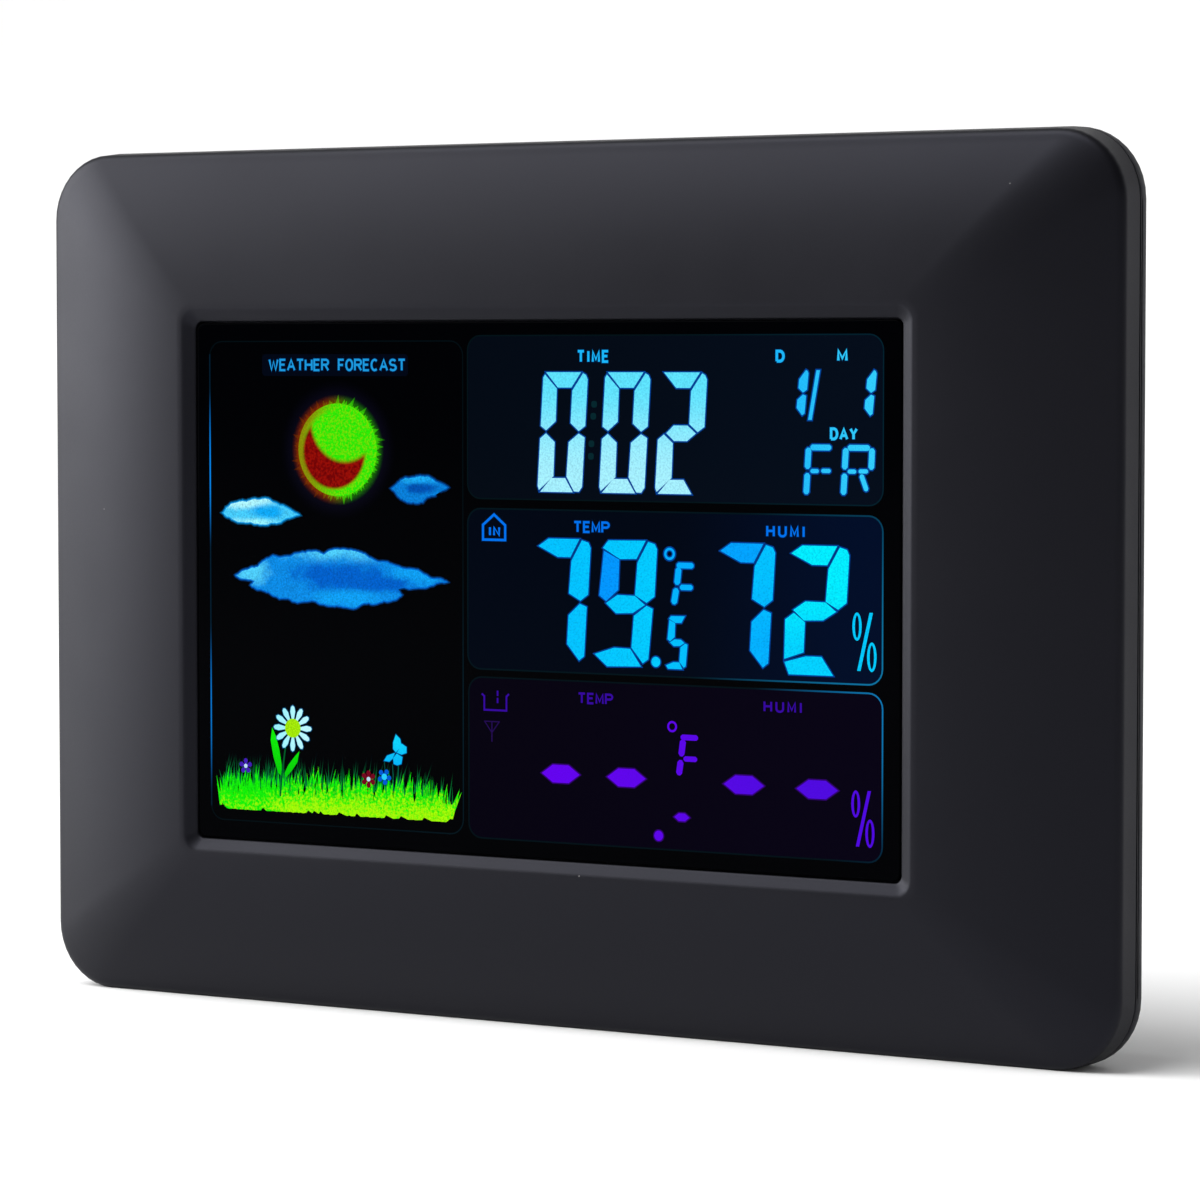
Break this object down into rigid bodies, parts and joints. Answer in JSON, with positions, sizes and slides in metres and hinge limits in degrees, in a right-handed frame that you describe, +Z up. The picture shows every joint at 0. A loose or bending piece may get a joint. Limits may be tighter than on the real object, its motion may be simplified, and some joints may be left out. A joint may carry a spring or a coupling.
{
  "type": "home weather station",
  "caption": "Tabletop weather station with a black picture-frame bezel, recessed colour display, folding rear stand, rear keys and battery door.",
  "frame": {"origin": "middle of the width and depth, on the surface the unit stands on", "axes": "the display faces -Y, +X is to the right of someone facing the display, +Z is up"},
  "size_m": [0.191, 0.0284, 0.1355],
  "materials": {
    "shell": "black soft-touch plastic, fine satin grain",
    "keys": "black moulded plastic",
    "window": "clear pane over a dark display, polished",
    "display_glass": "dark liquid crystal cell, polished",
    "light_guide": "clear acrylic",
    "lamp": "white light emitting diode",
    "white_plastic": "white moulded plastic",
    "contact_rubber": "layered conductive rubber",
    "board": "green solder mask on glass fibre board",
    "screw_steel": "plated steel",
    "epoxy": "black epoxy",
    "metal_can": "tinned steel",
    "capacitor_sleeve": "dark blue shrink sleeve",
    "black_plastic": "black plastic",
    "battery_jacket": "plain dark printed jacket",
    "contact_nickel": "nickel plated spring steel",
    "wire": "insulated wire"
  },
  "bodies": {
    "unit": {"alarm_buzzer": "black_plastic", "backlight_led_1": "lamp", "backlight_led_2": "lamp", "battery_1": "battery_jacket", "battery_2": "battery_jacket", "battery_3": "battery_jacket", "board_screw_1": "screw_steel", "board_screw_2": "screw_steel", "board_screw_3": "screw_steel", "board_screw_4": "screw_steel", "climate_sensor": "white_plastic", "clock_crystal": "metal_can", "contact_left_double": "contact_nickel", "contact_left_single": "contact_nickel", "contact_right_double": "contact_nickel", "contact_right_single": "contact_nickel", "contact_strip_lower": "contact_rubber", "contact_strip_upper": "contact_rubber", "controller_blob": "epoxy", "display_tray": "white_plastic", "front_bezel": "shell", "lcd_panel": "display_glass", "lead_black": "wire", "lead_red": "wire", "light_guide": "light_guide", "main_board": "board", "power_capacitor": "capacitor_sleeve", "power_socket": "black_plastic", "radio_aerial": "wire", "radio_module": "metal_can", "rear_cover": "shell", "rear_screw_1": "screw_steel", "rear_screw_2": "screw_steel", "rear_screw_3": "screw_steel", "rear_screw_4": "screw_steel", "switch_alert": "black_plastic", "switch_channel": "black_plastic", "switch_down": "black_plastic", "switch_set": "black_plastic", "switch_snooze": "black_plastic", "switch_units": "black_plastic", "switch_up": "black_plastic", "top_board": "board", "window_lens": "window"},
    "stand": {"stand_leg": "shell"},
    "door": {"battery_door": "shell"},
    "snooze_key": {"key_snooze_light": "keys"},
    "set_key": {"key_set": "keys"},
    "up_key": {"key_up": "keys"},
    "down_key": {"key_down": "keys"},
    "channel_key": {"key_channel": "keys"},
    "alert_key": {"key_alert": "keys"},
    "units_key": {"key_units": "keys"}
  },
  "joints": [
    {"name": "stand_hinge", "type": "hinge", "parent": "unit", "child": "stand", "pos_m": [0, 0.0122, 0.052], "axis": [1, 0, 0], "range_deg": [0, 30]},
    {"name": "battery_door_lift", "type": "slide", "parent": "unit", "child": "door", "axis": [0, 1, 0], "range_m": [0, 0.04]},
    {"name": "snooze_key_press", "type": "slide", "parent": "unit", "child": "snooze_key", "axis": [0, 0, -1], "range_m": [0, 0.0008], "stiffness_N_per_m": 1200, "springref_m": -0.0003},
    {"name": "set_key_press", "type": "slide", "parent": "unit", "child": "set_key", "axis": [0, -1, 0], "range_m": [0, 0.0008], "stiffness_N_per_m": 1200, "springref_m": -0.0002},
    {"name": "up_key_press", "type": "slide", "parent": "unit", "child": "up_key", "axis": [0, -1, 0], "range_m": [0, 0.0008], "stiffness_N_per_m": 1200, "springref_m": -0.0002},
    {"name": "down_key_press", "type": "slide", "parent": "unit", "child": "down_key", "axis": [0, -1, 0], "range_m": [0, 0.0008], "stiffness_N_per_m": 1200, "springref_m": -0.0002},
    {"name": "channel_key_press", "type": "slide", "parent": "unit", "child": "channel_key", "axis": [0, -1, 0], "range_m": [0, 0.0008], "stiffness_N_per_m": 1200, "springref_m": -0.0002},
    {"name": "alert_key_press", "type": "slide", "parent": "unit", "child": "alert_key", "axis": [0, -1, 0], "range_m": [0, 0.0008], "stiffness_N_per_m": 1200, "springref_m": -0.0002},
    {"name": "units_key_press", "type": "slide", "parent": "unit", "child": "units_key", "axis": [0, -1, 0], "range_m": [0, 0.0008], "stiffness_N_per_m": 1200, "springref_m": -0.0002}
  ]
}
